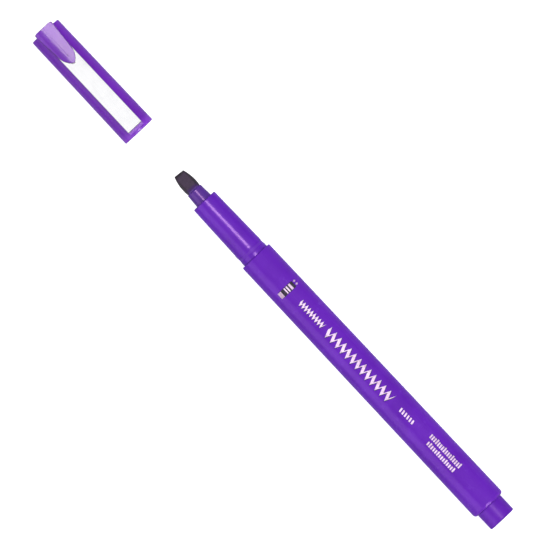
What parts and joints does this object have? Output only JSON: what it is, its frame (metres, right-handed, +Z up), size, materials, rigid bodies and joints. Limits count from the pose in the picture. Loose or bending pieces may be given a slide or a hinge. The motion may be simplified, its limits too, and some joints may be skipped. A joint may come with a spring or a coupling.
{
  "type": "calligraphy marker",
  "caption": "Round calligraphy marker with a drafted barrel, stepped front section, felt chisel nib, and a pull-off clip cap lying ahead of the nib.",
  "frame": {"origin": "on the surface the marker lies on, under the middle of the length from the tail to the crown of the pulled-off cap", "axes": "+X from the tail towards the nib and the cap, +Z up with the clip on top, Y across"},
  "size_m": [0.1884, 0.0106, 0.0132],
  "materials": {
    "barrel_plastic": "satin moulded, purple",
    "section_plastic": "polished moulded, purple",
    "cap_plastic": "polished moulded, purple",
    "liner_plastic": "natural, slightly waxy",
    "film": "thin film",
    "ink_fibre": "fibre rod wet with ink",
    "nib_felt": "dense felt wet with ink",
    "clip_steel": "bright rolled",
    "print_foil": "hot-stamped silver foil",
    "print_dark": "dark ink"
  },
  "bodies": {
    "pen": {"barrel": "barrel_plastic", "tail_plug": "section_plastic", "front_section": "section_plastic", "nib": "nib_felt", "reservoir_core": "ink_fibre", "reservoir_film": "film"},
    "cap": {"cap_shell": "cap_plastic", "cap_crown": "cap_plastic", "inner_cap": "liner_plastic"},
    "clip": {"clip": "clip_steel"}
  },
  "joints": [
    {"name": "cap_slide", "type": "slide", "parent": "pen", "child": "cap", "axis": [1, 0, 0], "range_m": [-0.04765, 0]},
    {"name": "clip_flex", "type": "hinge", "parent": "cap", "child": "clip", "pos_m": [0.0836, 0, 0.01149], "axis": [0, 1, 0], "range_deg": [0, 4], "stiffness_Nm_per_rad": 1.1}
  ]
}
